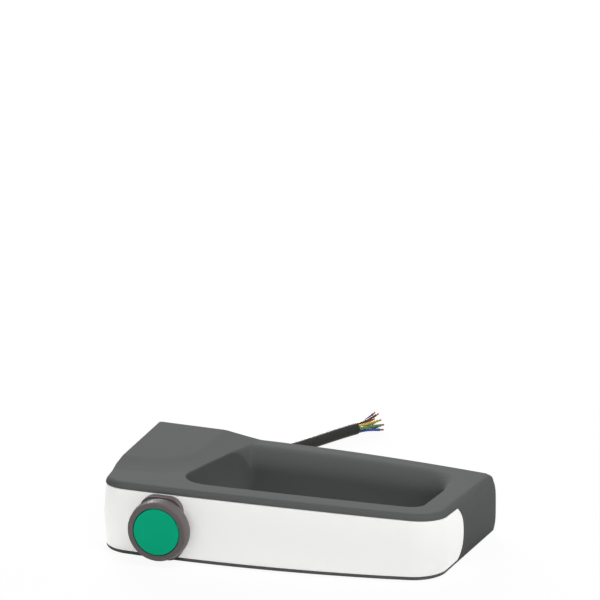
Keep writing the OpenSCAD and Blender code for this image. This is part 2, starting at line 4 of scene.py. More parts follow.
import bpy
import numpy as np
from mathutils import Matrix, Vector


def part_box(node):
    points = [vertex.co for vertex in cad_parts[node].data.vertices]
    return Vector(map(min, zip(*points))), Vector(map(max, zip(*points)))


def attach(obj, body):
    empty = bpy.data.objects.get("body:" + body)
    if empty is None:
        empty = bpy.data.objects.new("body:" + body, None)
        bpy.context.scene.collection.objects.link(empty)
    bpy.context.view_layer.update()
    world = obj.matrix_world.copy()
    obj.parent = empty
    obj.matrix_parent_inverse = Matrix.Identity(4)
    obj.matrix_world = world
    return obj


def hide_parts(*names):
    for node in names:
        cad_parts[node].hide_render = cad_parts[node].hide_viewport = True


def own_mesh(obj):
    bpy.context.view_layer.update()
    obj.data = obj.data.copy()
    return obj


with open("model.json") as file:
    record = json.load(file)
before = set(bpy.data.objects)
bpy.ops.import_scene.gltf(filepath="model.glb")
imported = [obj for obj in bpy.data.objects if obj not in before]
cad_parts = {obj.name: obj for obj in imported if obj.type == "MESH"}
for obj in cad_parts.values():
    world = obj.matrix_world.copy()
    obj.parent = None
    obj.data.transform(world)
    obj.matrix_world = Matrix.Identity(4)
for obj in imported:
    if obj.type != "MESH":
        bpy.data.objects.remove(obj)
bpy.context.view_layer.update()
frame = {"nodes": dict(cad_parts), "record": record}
scene = bpy.context.scene
scene.view_settings.view_transform = "Standard"

mm = 0.001
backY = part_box("grip_body")[1].y / mm  # the mounting face; shapes below are laid out in mm from it
nodes = frame["nodes"]


# Shader maths
class Knob:  # a socket that takes part in plain expressions
    def __init__(self, tree, socket):
        self.tree = tree
        self.socket = socket

    def maths(self, operation, a, b):
        node = self.tree.nodes.new("ShaderNodeMath")
        node.operation = operation
        for slot, value in zip(node.inputs, (a, b)):
            if isinstance(value, Knob):
                self.tree.links.new(value.socket, slot)
            else:
                slot.default_value = value
        return Knob(self.tree, node.outputs[0])

    def __add__(self, other):
        return self.maths("ADD", self, other)

    def __radd__(self, other):
        return self.maths("ADD", other, self)

    def __sub__(self, other):
        return self.maths("SUBTRACT", self, other)

    def __rsub__(self, other):
        return self.maths("SUBTRACT", other, self)

    def __mul__(self, other):
        return self.maths("MULTIPLY", self, other)

    def __rmul__(self, other):
        return self.maths("MULTIPLY", other, self)


class Finish:  # one material or world, built node by node
    def __init__(self, name, world=False):
        self.block = bpy.data.worlds.new(name) if world else bpy.data.materials.new(name)
        self.block.use_nodes = True
        self.tree = self.block.node_tree
        self.tree.nodes.clear()

    def add(self, kind, settings=None, sockets=None, out=0):
        node = self.tree.nodes.new("ShaderNode" + kind)
        for key, value in (settings or {}).items():
            setattr(node, key, value)
        for key, value in (sockets or {}).items():
            if isinstance(value, Knob):
                self.tree.links.new(value.socket, node.inputs[key])
            else:
                node.inputs[key].default_value = value
        return Knob(self.tree, node.outputs[out])

    def blend(self, share, first, second):  # colours mixed by a value
        return self.add("Mix", {"data_type": "RGBA"}, {0: share, 6: first, 7: second}, out=2)

    def close(self, surface):
        forWorld = isinstance(self.block, bpy.types.World)
        output = self.tree.nodes.new("ShaderNodeOutputWorld" if forWorld else "ShaderNodeOutputMaterial")
        self.tree.links.new(surface.socket, output.inputs["Surface"])
        return self.block


def tone(red, green, blue):  # an sRGB colour of 0 to 255, as a linear one
    def channel(value):
        value /= 255
        return value / 12.92 if value < 0.04045 else ((value + 0.055) / 1.055) ** 2.4
    return (channel(red), channel(green), channel(blue), 1)


def shade(colour, factor):
    return (*(min(1, c * factor) for c in colour[:3]), 1)


# Moulded and painted surfaces: a fine grain, faint clouds of colour and gloss, small scuffs, and on some a
# glow that is painted light
surface = {"grainDetail": 3.0, "cloudDetail": 4.0, "scuffDetail": 6.0, "scuffRough": 0.7, "scuffFiner": 9,
           "grainHeight": 0.0002, "specular": 0.4}


def mouldedFinish(name, look):
    kit = Finish(name)
    place = kit.add("TexCoord", out=3)

    def noise(scale, detail, roughness=0.5):
        sockets = {"Vector": place, "Scale": scale, "Detail": detail, "Roughness": roughness}
        return kit.add("TexNoise", {}, sockets)

    grain = noise(look["grainScale"], surface["grainDetail"])
    cloud = noise(look["cloudScale"], surface["cloudDetail"])
    scuff = noise(look["cloudScale"] * surface["scuffFiner"], surface["scuffDetail"], surface["scuffRough"])
    darker, paler = (shade(look["colour"], 1 + side * look["cloud"]) for side in (-1, 1))
    colour = kit.blend(cloud, darker, paler)
    rough = (cloud - 0.5) * look["glossSpread"] + (scuff - 0.5) * look["glossSpread"] + look["rough"]
    bump = kit.add("Bump", {}, {"Height": grain, "Strength": look["grainDepth"],
                                "Distance": surface["grainHeight"]})
    sockets = {"Base Color": colour, "Roughness": rough, "Normal": bump, "Metallic": look.get("metal", 0.0),
               "Specular IOR Level": look.get("specular", surface["specular"])}
    # a glow is painted light: an emission that brightens the part in place of lamp light falling on it
    if "glow" in look:
        sockets["Emission Color"] = look["colour"]
        sockets["Emission Strength"] = look["glow"]
    return kit.close(kit.add("BsdfPrincipled", {}, sockets))


looks = {
    "grip": {"colour": tone(104, 106, 105), "rough": 0.42, "glossSpread": 0.1, "grainScale": 5200.0,
             "grainDepth": 0.12, "cloudScale": 24.0, "cloud": 0.035, "specular": 0.0},
    # the cover's glow is painted light: an emission that lifts its white the way light falling on it would
    "cover": {"colour": tone(242, 242, 240), "rough": 0.3, "glossSpread": 0.06, "grainScale": 1500.0,
              "grainDepth": 0.02, "cloudScale": 14.0, "cloud": 0.008, "specular": 0.2, "glow": 0.33},
    # the cap's glow is painted light: an emission that brightens its green the way more light on its face
    # would
    "cap": {"colour": tone(2, 170, 126), "rough": 0.36, "glossSpread": 0.08, "grainScale": 3800.0,
            "grainDepth": 0.06, "cloudScale": 60.0, "cloud": 0.03, "specular": 0.05, "glow": 0.19},
    "bezel": {"colour": tone(119, 112, 112), "rough": 0.34, "glossSpread": 0.1, "grainScale": 4600.0,
              "grainDepth": 0.08, "cloudScale": 50.0, "cloud": 0.04, "specular": 0.06},
    "inner_plastic": {"colour": tone(48, 49, 50), "rough": 0.5, "glossSpread": 0.1, "grainScale": 4000.0,
                      "grainDepth": 0.1, "cloudScale": 60.0, "cloud": 0.05},
    "plunger": {"colour": tone(222, 219, 208), "rough": 0.4, "glossSpread": 0.08, "grainScale": 4000.0,
                "grainDepth": 0.06, "cloudScale": 80.0, "cloud": 0.03},
    "emitter": {"colour": tone(242, 236, 190), "rough": 0.25, "glossSpread": 0.05, "grainScale": 3000.0,
                "grainDepth": 0.02, "cloudScale": 90.0, "cloud": 0.03},
    "board": {"colour": tone(28, 92, 60), "rough": 0.4, "glossSpread": 0.12, "grainScale": 2400.0,
              "grainDepth": 0.12, "cloudScale": 120.0, "cloud": 0.12},
    "rubber": {"colour": tone(42, 42, 42), "rough": 0.62, "glossSpread": 0.12, "grainScale": 3600.0,
               "grainDepth": 0.2, "cloudScale": 70.0, "cloud": 0.06},
    "sheath": {"colour": tone(57, 57, 55), "rough": 0.42, "glossSpread": 0.12, "grainScale": 2600.0,
               "grainDepth": 0.12, "cloudScale": 40.0, "cloud": 0.06, "specular": 0.06},
    "steel": {"colour": tone(186, 187, 190), "rough": 0.32, "glossSpread": 0.15, "grainScale": 5200.0,
              "grainDepth": 0.12, "cloudScale": 150.0, "cloud": 0.06, "metal": 1.0},
    "brass": {"colour": tone(196, 164, 92), "rough": 0.3, "glossSpread": 0.15, "grainScale": 5200.0,
              "grainDepth": 0.1, "cloudScale": 150.0, "cloud": 0.08, "metal": 1.0},
    "copper": {"colour": tone(146, 96, 78), "rough": 0.38, "glossSpread": 0.15, "grainScale": 6000.0,
               "grainDepth": 0.1, "cloudScale": 300.0, "cloud": 0.1, "metal": 1.0},
}
wireTones = {
    "green": (76, 134, 74), "yellow": (204, 182, 62), "maroon": (80, 32, 38), "violet": (98, 62, 104),
    "pink": (164, 118, 126), "red": (152, 54, 44), "black": (32, 30, 30), "blue": (38, 70, 158)}
for wireName, colour in wireTones.items():
    looks["wire_" + wireName] = {
        "colour": tone(*colour), "rough": 0.38, "glossSpread": 0.1, "grainScale": 5000.0,
        "grainDepth": 0.06, "cloudScale": 200.0, "cloud": 0.05}
finishes = {name: mouldedFinish(name, look) for name, look in looks.items()}
for row in frame["record"]["subparts"]:  # every solid takes the finish of its slot
    nodes[row["node"]].data.materials.clear()
    nodes[row["node"]].data.materials.append(finishes[row["material_slot"]])
print("finishes:", len(finishes))


# Camera: seen almost without perspective
# It aims at a point left of and above the foot of the mounting face, in mm
view = {"turn": 20.0, "rise": 18.21, "away": 12.0, "width": 0.2867, "foot": 0.85, "left": 14.0,
        "above": 101.3, "sensor": 36}
turn, rise = math.radians(view["turn"]), math.radians(view["rise"])
toCamera = Vector((math.sin(turn) * math.cos(rise), -math.cos(turn) * math.cos(rise), math.sin(rise)))
toRight = Vector((math.cos(turn), math.sin(turn), 0))
upward = toCamera.cross(toRight)
aim = (Vector((view["foot"], backY, 0)) - toRight * view["left"] + upward * view["above"]) * mm
cameraData = bpy.data.cameras.new("camera")
cameraData.sensor_width = view["sensor"]
cameraData.lens = view["sensor"] * view["away"] / view["width"]
cameraData.clip_end = 3 * view["away"]
camera = bpy.data.objects.new("camera", cameraData)
camera.location = aim + toCamera * view["away"]
camera.rotation_euler = toCamera.to_track_quat("Z", "Y").to_euler()
scene.collection.objects.link(camera)
scene.camera = camera


# Meshes are laid out in mm from the mounting face
def layOut(points):
    return [(x * mm, (y + backY) * mm, z * mm) for x, y, z in points]


def addMesh(name, points, faces):
    mesh = bpy.data.meshes.new(name)
    mesh.from_pydata(layOut(points), [], faces)
    mesh.validate()
    made = bpy.data.objects.new(name, mesh)
    scene.collection.objects.link(made)
    return made


def addPiece(piece, finish, body, replaced, sharp=35):
    piece.data.shade_smooth()
    piece.data.set_sharp_from_angle(angle=math.radians(sharp))
    piece.data.materials.clear()
    piece.data.materials.append(finishes[finish])
    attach(piece, body)
    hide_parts(*replaced)
    return piece


# Quads between rings of equal length; closed joins the last ring to the first
def ringFaces(rings, stations, closed):
    faces = []
    for k in range(rings if closed else rings - 1):
        a, b = k * stations, (k + 1) % rings * stations
        for i in range(stations):
            j = (i + 1) % stations
            faces.append((a + i, a + j, b + j, b + i))
    return faces


# A section of (radius, way to the front), turned about an axis along Y
def addTurned(name, section, x, y, z, closed, stations=128):
    points = [(x + r * math.cos(a), y - d, z + r * math.sin(a)) for r, d in section
              for a in np.linspace(0, math.tau, stations, endpoint=False)]
    faces = ringFaces(len(section), stations, closed)
    if not closed:
        last = (len(section) - 1) * stations
        faces += [tuple(range(stations))[::-1], tuple(range(last, last + stations))]
    return addMesh(name, points, faces)


boxFaces = [(0, 2, 3, 1), (4, 5, 7, 6), (0, 1, 5, 4), (2, 6, 7, 3), (0, 4, 6, 2), (1, 3, 7, 5)]


def addBox(name, low, high):
    points = [(x, y, z) for z in (low[2], high[2]) for y in (low[1], high[1]) for x in (low[0], high[0])]
    return addMesh(name, points, boxFaces)


def carve(piece, cutters):  # takes the room of the cutters out of a piece
    room = bpy.data.collections.new("room")
    scene.collection.children.link(room)
    for cutter in cutters:
        scene.collection.objects.unlink(cutter)
        room.objects.link(cutter)
    cut = piece.modifiers.new("cut", "BOOLEAN")
    cut.operand_type = "COLLECTION"
    cut.collection = room
    cut.solver = "MANIFOLD"
    carved = bpy.data.meshes.new_from_object(piece.evaluated_get(bpy.context.evaluated_depsgraph_get()))
    piece.modifiers.clear()
    piece.data = carved
    for cutter in cutters:
        bpy.data.objects.remove(cutter)
    bpy.data.collections.remove(room)


# Cable with its stripped wires
cable = {
    "width": 5.7, "wire": 1.3, "skin": 0.2, "bundleGap": 0.2, "tip": 1.8, "twist": 1.2, "tuck": 0.05,
    "roundness": 6, "strandSides": 8, "strandCuts": 5,
    "route": [
        (-60.5, -5, 17), (-60.5, 1, 17), (-60.5, 7, 17), (-60.4, 14, 16.8), (-60, 21, 16.2),
        (-59.2, 29, 14.6), (-57.9, 37, 12.2), (-56.2, 44.5, 9.6), (-54, 52, 7.2), (-51.3, 60, 5.2),
        (-48.2, 68, 3.8), (-44.8, 76, 3.1), (-41.2, 84, 2.9), (-37.6, 92, 2.9), (-34, 100, 2.9),
        (-30.5, 107.5, 2.9), (-26.9, 114.5, 2.9)],
    "ends": [(13.4, 3, -0.6), (13, 1.6, 1.4), (13.4, -0.5, 3.6), (12.8, -2.2, 3.8),  # along, to the right, up
             (13, -2.8, 0.7), (13.2, -2.2, -1), (13.6, 0.8, -1.9), (11.6, 4.4, -2.2)],
}


def addLine(name, points, width, finish, replaced):
    data = bpy.data.curves.new(name, "CURVE")
    data.dimensions = "3D"
    data.bevel_depth = width / 2 * mm
    data.bevel_resolution = cable["roundness"]
    data.use_fill_caps = True
    data.resolution_u = cable["roundness"]
    spline = data.splines.new("BEZIER")
    spline.bezier_points.add(len(points) - 1)
    for knot, place in zip(spline.bezier_points, layOut(points)):
        knot.co = place
        knot.handle_left_type = knot.handle_right_type = "AUTO"
    line = bpy.data.objects.new(name, data)
    scene.collection.objects.link(line)
    data.materials.append(finishes[finish])
    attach(line, "grip")
    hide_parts(*replaced)
    return line


def curveLength(line):
    measure = bpy.data.curves.new("measure", "CURVE")
    measure.dimensions = "3D"
    measure.resolution_u = 4 * cable["roundness"]
    spline = measure.splines.new("BEZIER")
    source = line.data.splines[0].bezier_points
    spline.bezier_points.add(len(source) - 1)
    for knot, other in zip(spline.bezier_points, source):
        knot.co = other.co
        knot.handle_left_type = knot.handle_right_type = "AUTO"
    return spline.calc_length()


route = [Vector(p) for p in cable["route"]]
heading = (route[-1] - route[-2]).normalized()
sideways = heading.cross(Vector((0, 0, 1))).normalized()
bundle = cable["width"] / 2 - cable["wire"] / 2 - cable["bundleGap"]
sheath = addLine("cableSheath", route, cable["width"], "sheath", ["cable_sheath"])
cableLength = curveLength(sheath)
tipPoints, tipFaces = [], []
sides, cuts = cable["strandSides"], cable["strandCuts"]
for k, (wireName, (reach, aside, lifted)) in enumerate(zip(wireTones, cable["ends"])):
    angle = math.tau * k / len(wireTones)
    across, lift = sideways * math.cos(angle), Vector((0, 0, math.sin(angle)))
    start = route[-1] + (across + lift) * bundle
    lead = start + heading * cable["wire"]
    middle = start + heading * reach / 2
    end = route[-1] + heading * reach + sideways * aside + Vector((0, 0, lifted))
    bend = [lead.lerp(middle, t).lerp(middle.lerp(end, t), t) for t in (0, 0.33, 0.66, 1)]
    addLine("wire_" + wireName + "_line", [start] + bend, cable["wire"],
                         "wire_" + wireName, ["wire_" + wireName])
    # seven twisted strands show where the wire is stripped
    ahead = (bend[-1] - bend[-2]).normalized()
    right = ahead.cross(Vector((0, 0, 1))).normalized()
    up = right.cross(ahead)
    strand = (cable["wire"] - 2 * cable["skin"]) / 6
    for s in range(7):
        base = len(tipPoints)
        for c in range(cuts):
            t = c / (cuts - 1)
            twist = math.tau * s / 6 + cable["twist"] * t
            spoke = (right * math.cos(twist) + up * math.sin(twist)) * 2 * strand
            offset = Vector((0, 0, 0)) if s == 6 else spoke  # the last strand is the core
            centre = end + ahead * (t * cable["tip"] - (cable["tuck"] if c == 0 else 0)) + offset
            for n in range(sides):
                a = math.tau * n / sides
                tipPoints.append(centre + (right * math.cos(a) + up * math.sin(a)) * strand)
        for face in ringFaces(cuts, sides, False):
            tipFaces.append(tuple(base + i for i in face))
        tipFaces.append(tuple(base + i for i in range(sides - 1, -1, -1)))
        tipFaces.append(tuple(base + (cuts - 1) * sides + i for i in range(sides)))
wireTips = addPiece(addMesh("wireTips", tipPoints, tipFaces), "copper", "grip", ["wire_tips"])
layOut([route[0]])[0]
print("cable: %.3f m" % cableLength)


# Grip body: one closed band of rings around the finger opening, then the seats cut into it
grip = {
    "length": 171, "depth": 94.8, "height": 36, "frontRadius": 560, "crestX": -35,
    "crownFront": 2400, "crownBack": 1800, "backFall": 2.1, "endTaper": 1.6,
    "leftCorner": 16, "rightCorner": 18, "backCorner": 0.8, "wallBulge": 1.6, "endBulge": 3.4,
    "topRound": 3, "leftRound": 1.4, "bottomRound": 1.6, "edgeRound": 0.5, "padEdge": 0.6,
    "bar": 14.6, "arm": 13.6, "rail": 17.8, "blockFront": 35.5, "blockBack": 48,
    "openingCorner": 10, "railCorner": 20, "blockCorner": 14.5, "armCorner": 8.5, "openingEdge": 0.8,
    "railRound": 10, "railFade": 16, "padFall": 0.8, "padFrontWidth": 31.5, "padBackWidth": 34,
    "padLength": 53.5, "padCorner": 20, "padSlope": 18, "padSoft": 0.05,
    # left, corner, front, corner, right, corner, back, corner
    "stations": [56, 22, 120, 24, 48, 28, 110, 30],
    "rings": {"wall": 21, "round": 10, "top": 44, "roll": 13, "opening": 13, "under": 6},
}
coverStrip = {"wall": 2.4, "low": 2, "reach": 46, "tip": 5.5, "gap": 0.12, "topGap": 0.2, "edge": 0.3,
              "along": 230}
half = grip["length"] / 2


def frontY(x):
    radius = grip["frontRadius"]
    return radius - grip["depth"] - np.sqrt(radius ** 2 - (x - grip["crestX"]) ** 2)


def lerp(a, b, t):
    return a + (b - a) * t


def topZ(x, y):
    t = (y + grip["depth"]) / grip["depth"]
    crown = (x - grip["crestX"]) ** 2 / 2 * lerp(1 / grip["crownFront"], 1 / grip["crownBack"], t)
    return grip["height"] - crown - math.tan(math.radians(grip["backFall"])) * grip["depth"] * t


def leftShare(x, y):  # 1 along the left end, fading out at its front corner
    fade = np.clip((y + grip["depth"]) / grip["leftCorner"] - 1, 0, 1)
    return np.where(x < -half + grip["leftCorner"] / 2, fade, 0)


def wallIn(x, y, z, top):  # the wall bulges out at half height, and stands straight under the pad
    u = 2 * z / top - 1
    high = np.maximum(u, 0)
    end = np.where(x > 0, ((y + grip["depth"]) / grip["depth"]) ** 2, 0)
    endBulge = np.where(u > 0, grip["endBulge"], grip["wallBulge"])
    inset = lerp(grip["wallBulge"] * u ** 2, endBulge * u ** 4, end)
    return inset - grip["wallBulge"] * high ** 2 * leftShare(x, y)


def smooth(t):
    t = np.clip(t, 0, 1)
    return t * t * (3 - 2 * t)


def cornerArc(before, corner, after, radius, steps=24):
    before, corner, after = (np.array(p, float) for p in (before, corner, after))
    u, w = before - corner, after - corner
    u, w = u / np.linalg.norm(u), w / np.linalg.norm(w)
    lean = math.acos(u @ w) / 2
    centre = corner + (u + w) / np.linalg.norm(u + w) * radius / math.sin(lean)
    first, last = (corner + v * radius / math.tan(lean) - centre for v in (u, w))
    start = math.atan2(first[1], first[0])
    sweep = (math.atan2(last[1], last[0]) - start + math.pi) % math.tau - math.pi
    angles = start + sweep * np.linspace(0, 1, steps + 1)
    return centre + radius * np.stack([np.cos(angles), np.sin(angles)], 1)


def loopSegments(frontLeft, frontLine, frontRight, backRight, backLeft):  # corners are (x, y, radius)
    fl = cornerArc(backLeft[:2], frontLeft[:2], frontLine[0], frontLeft[2])
    fr = cornerArc(frontLine[-1], frontRight[:2], backRight[:2], frontRight[2])
    br = cornerArc(frontRight[:2], backRight[:2], backLeft[:2], backRight[2])
    bl = cornerArc(backRight[:2], backLeft[:2], frontLeft[:2], backLeft[2])
    return [np.array([bl[-1], fl[0]]), fl, np.vstack([fl[-1:], frontLine, fr[:1]]), fr,
            np.array([fr[-1], br[0]]), br, np.array([br[-1], bl[0]]), bl]


def spaced(line, count):  # points at even steps along a line, without its end
    length = np.concatenate([[0], np.cumsum(np.linalg.norm(np.diff(line, axis=0), axis=1))])
    at = np.linspace(0, length[-1], count + 1)[:-1]
    return np.stack([np.interp(at, length, line[:, k]) for k in (0, 1)], 1)


def normals(loop):  # to the left of the way the loop runs
    d = np.roll(loop, -1, axis=0) - np.roll(loop, 1, axis=0)
    d /= np.linalg.norm(d, axis=1)[:, None]
    return np.stack([-d[:, 1], d[:, 0]], 1)


def insideDistance(loop, x, y):  # distance to a closed line, above zero inside it
    best, inside = np.full(np.shape(x), 1e9), np.zeros(np.shape(x), bool)
    for (ax, ay), (bx, by) in zip(loop, np.roll(loop, -1, axis=0)):
        dx, dy = bx - ax, by - ay
        if dx * dx + dy * dy < 1e-12:
            continue
        t = np.clip(((x - ax) * dx + (y - ay) * dy) / (dx * dx + dy * dy), 0, 1)
        best = np.minimum(best, np.hypot(x - ax - t * dx, y - ay - t * dy))
        if ay != by:
            crosses = ((ay > y) != (by > y)) & (x < ax + (y - ay) / (by - ay) * dx)
            inside ^= crosses
    return np.where(inside, best, -best)


clearance = 9  # keeps the curved lines off the arcs at their ends
leftFront = -half + grip["endTaper"]
frontX = np.linspace(leftFront + grip["leftCorner"] + clearance, half - grip["rightCorner"] - clearance, 60)
outerSegments = loopSegments(
    (leftFront, frontY(leftFront), grip["leftCorner"]), np.stack([frontX, frontY(frontX)], 1),
    (half, frontY(half), grip["rightCorner"]), (half, 0, grip["backCorner"]), (-half, 0, grip["backCorner"]))
openLeft, openRight, openRail = -half + grip["blockFront"], half - grip["arm"], -half + grip["blockBack"]
openX = np.linspace(openLeft + grip["blockCorner"] + clearance, openRight - grip["armCorner"] - clearance, 50)
openSegments = loopSegments(
    (openLeft, frontY(openLeft) + grip["bar"], grip["blockCorner"]),
    np.stack([openX, frontY(openX) + grip["bar"]], 1),
    (openRight, frontY(openRight) + grip["bar"], grip["armCorner"]),
    (openRight, -grip["rail"], grip["railCorner"]), (openRail, -grip["rail"], grip["openingCorner"]))
far = 60  # the pad's outlines run on past the left end and the back


def padLoop(frontWidth, backWidth, length, corner):
    lean = (backWidth - frontWidth) / length
    backEnd = (-half + backWidth + lean * far, far)
    arc = cornerArc((-half - far, -length), (-half + frontWidth, -length), backEnd, corner)
    return np.vstack([[(-half - far, far), (-half - far, -length)], arc, [backEnd]])


slope = grip["padSlope"]
padFlat = padLoop(grip["padFrontWidth"], grip["padBackWidth"], grip["padLength"], grip["padCorner"])
padFoot = padLoop(grip["padFrontWidth"] + slope / 2, grip["padBackWidth"] + slope, grip["padLength"] + slope,
                  grip["padCorner"] + slope / 2)


def padShare(x, y):  # 0 on the handle's top, 1 on the flat of the pad
    foot, flat = insideDistance(padFoot, x, y), insideDistance(padFlat, x, y)
    share, soft = foot / (foot - flat), grip["padSoft"]
    share = np.maximum(share, 0) + np.maximum(soft - np.abs(share), 0) ** 2 / (4 * soft)
    return np.minimum(share, 1) - np.maximum(soft - np.abs(share - 1), 0) ** 2 / (4 * soft)


def skinZ(x, y):
    top = topZ(x, y)
    pad = grip["height"] - math.tan(math.radians(grip["padFall"])) * (x + half)
    return top + np.maximum(pad - top, 0) * padShare(x, y)


def roundAt(x, y):
    radius = lerp(grip["topRound"], grip["leftRound"], leftShare(x, y))
    return lerp(radius, grip["padEdge"], padShare(x + 1.0, y) * (x < 0))


def coverEnd(f):
    return -coverStrip["reach"] - coverStrip["tip"] * np.abs(2 * f - 1) ** 3


def buildShell():
    counts = grip["stations"]
    outer = np.vstack([spaced(s, n) for s, n in zip(outerSegments, counts)])
    opening = np.vstack([spaced(s, n) for s, n in zip(openSegments, counts)])
    back = np.repeat(np.arange(8), counts) >= 5
    inward, intoBody = normals(outer), -normals(opening)
    lean = np.where(back[:, None], np.stack([-outer[:, 0] / half, 0 * outer[:, 0]], 1), inward)
    x, y = outer[:, 0], outer[:, 1]
    radius = roundAt(x, y)
    top = topZ(x, y)
    for _ in range(3):  # the height where the round meets the top
        inset = wallIn(x, y, top - radius, top) + radius
        q = outer + lean * inset[:, None] + inward * (back * grip["edgeRound"])[:, None]
        top = skinZ(q[:, 0], q[:, 1])
    rings, steps = [], grip["rings"]

    def ring(inset, z, extra=0):
        inset, z, extra = (np.broadcast_to(value, x.shape) for value in (inset, z, extra))
        plan = outer + lean * inset[:, None] + inward * extra[:, None]
        rings.append(np.column_stack([plan, z]))

    low = grip["bottomRound"]
    for a in np.radians([0, 18, 36, 54, 72]):
        ring(wallIn(x, y, low, top) + low * (1 - math.sin(a)), low * (1 - math.cos(a)))
    for f in np.linspace(0, 1, steps["wall"])[:-1]:
        z = lerp(low, top - radius, f)
        ring(wallIn(x, y, z, top), z)
    edge = grip["edgeRound"] * back
    shoulder = wallIn(x, y, top - radius, top)
    for a in np.radians(np.linspace(0, 90, steps["round"])):
        ring(shoulder + radius * (1 - math.cos(a)), top - edge - (radius - edge) * (1 - math.sin(a)))
    for step in (0.3, 1.0):
        ring(shoulder + radius, top - edge * (1 - step) ** 2, np.where(back, edge * step ** 2, 0.5 * step))
    first = rings[-1][:, :2]
    share = smooth(1 + (opening[:, 1] + grip["rail"]) / grip["railFade"])
    roll = lerp(grip["openingEdge"], grip["railRound"], share)
    roll[:counts[0]] = grip["openingEdge"]
    wallWay, rollEdge = intoBody[1], grip["railRound"] - grip["rail"]
    least = 0.01  # for a way that runs along the edge
    # the edges of the wall and of the rail's roll meet in a sharp corner
    for i in range(len(opening) - counts[-1], len(opening)):
        place, way = opening[i], intoBody[i]
        toWall = (grip["openingEdge"] - (place - opening[0]) @ wallWay) / max(way @ wallWay, least)
        toRail = (rollEdge - place[1]) / max(way[1], least)
        roll[i] = min(toWall, toRail)
    last = opening + intoBody * roll[:, None]
    for t in np.linspace(0, 1, steps["top"])[1:-1]:
        plan = lerp(first, last, t)
        rings.append(np.column_stack([plan, skinZ(plan[:, 0], plan[:, 1])]))
    lip = skinZ(last[:, 0], last[:, 1])
    for a in np.radians(np.linspace(90, 0, steps["roll"])):
        plan = opening + intoBody * (roll * (1 - math.cos(a)))[:, None]
        rings.append(np.column_stack([plan, lip - roll * (1 - math.sin(a))]))
    foot = grip["openingEdge"]
    for f in np.linspace(1, 0, steps["opening"])[1:]:
        rings.append(np.column_stack([opening, lerp(foot, lip - roll, f)]))
    for a in np.radians([60, 30, 0]):
        plan = opening + intoBody * foot * (1 - math.sin(a))
        rings.append(np.column_stack([plan, np.full(len(plan), foot * (1 - math.cos(a)))]))
    start, end = rings[-1][:, :2], rings[0][:, :2]
    for t in np.linspace(0, 1, steps["under"])[1:-1]:
        plan = lerp(start, end, t)
        rings.append(np.column_stack([plan, np.zeros(len(plan))]))
    return addMesh("gripShell", np.vstack(rings).tolist(), ringFaces(len(rings), len(outer), True))


# A curved strip that follows the wall, for the cover and its seat
def buildStrip(name, proud, depth, gap, topGap, edge):
    line = np.vstack([spaced(s, n * 2) for s, n in zip(outerSegments[:5], grip["stations"])])
    length = np.concatenate([[0], np.cumsum(np.linalg.norm(np.diff(line, axis=0), axis=1))])
    facing = normals(line)
    facing[0], facing[-1] = facing[1], facing[-2]
    left, right = np.argmin(line[:, 1]), np.argmax(line[:, 0])
    levels = [0, 0.003, 0.012, *np.linspace(0.03, 0.97, 25), 0.988, 0.997, 1]
    pulls = [edge, edge * 0.3, 0, *[0] * 25, 0, edge * 0.3, edge]
    loops = []
    for inner in (False, True):
        for f, pull in (list(zip(levels, pulls))[::-1] if inner else zip(levels, pulls)):
            limit = coverEnd(f) + gap
            start = np.interp(-limit, -line[:left, 1], length[:left])
            stop = np.interp(limit, line[right:, 1], length[right:])
            steps = np.concatenate([[0, 0.1, 0.35], np.linspace(1, stop - start - 1, coverStrip["along"]),
                                    stop - start - np.array([0.35, 0.1, 0])])
            flat = np.zeros(coverStrip["along"])
            ends = np.concatenate([[edge, edge * 0.3, 0], flat, [0, edge * 0.3, edge]])
            at = start + steps
            px, py = (np.interp(at, length, line[:, k]) for k in (0, 1))
            nx, ny = (np.interp(at, length, facing[:, k]) for k in (0, 1))
            top = topZ(px, py)
            z = lerp(coverStrip["low"] - gap, top - roundAt(px, py) - topGap, f)
            inset = wallIn(px, py, z, top) + (depth if inner else np.maximum(ends, pull) - proud)
            loops.append(np.column_stack([px + nx * inset, py + ny * inset, z]))
    rows, count = len(loops), len(loops[0])
    faces = []
    for k in range(rows):
        a, b = k * count, (k + 1) % rows * count
        faces += [(a + i, a + i + 1, b + i + 1, b + i) for i in range(count - 1)]
    for k in range(rows // 2 - 1):  # both ends are closed between the outer and the inner face
        a, b, c, d = k, k + 1, rows - 2 - k, rows - 1 - k
        faces.append(tuple(r * count for r in (a, b, c, d)))
        faces.append(tuple(r * count + count - 1 for r in (d, c, b, a)))
    return addMesh(name, np.vstack(loops).tolist(), faces)


# Places of the button, the bay behind it and the inserts, as in the solids
button = {"inset": 36.5, "z": 17, "capStand": 9.5, "well": 19.2, "wellDepth": 10.5, "bayWidth": 17,
          "bayHeight": 18, "bayShift": 3, "plateSide": 2.2, "plateEnd": 4.6, "plateThick": 3}
inserts = {"spacing": 152, "z": 15, "width": 7.06, "depth": 11}
buttonX, buttonZ = -half + button["inset"], button["z"]
coverFace = frontY(buttonX)
seatY = coverFace + coverStrip["wall"] + coverStrip["gap"]
bayRight = buttonX - button["bayShift"]
bayLeft = bayRight - button["bayWidth"]
bayLow, bayHigh = buttonZ - button["bayHeight"] / 2, buttonZ + button["bayHeight"] / 2


def bore(name, x, z, front, back, width):
    return addTurned(name, [(width / 2, 0), (width / 2, back - front)], x, back, z, False, 64)


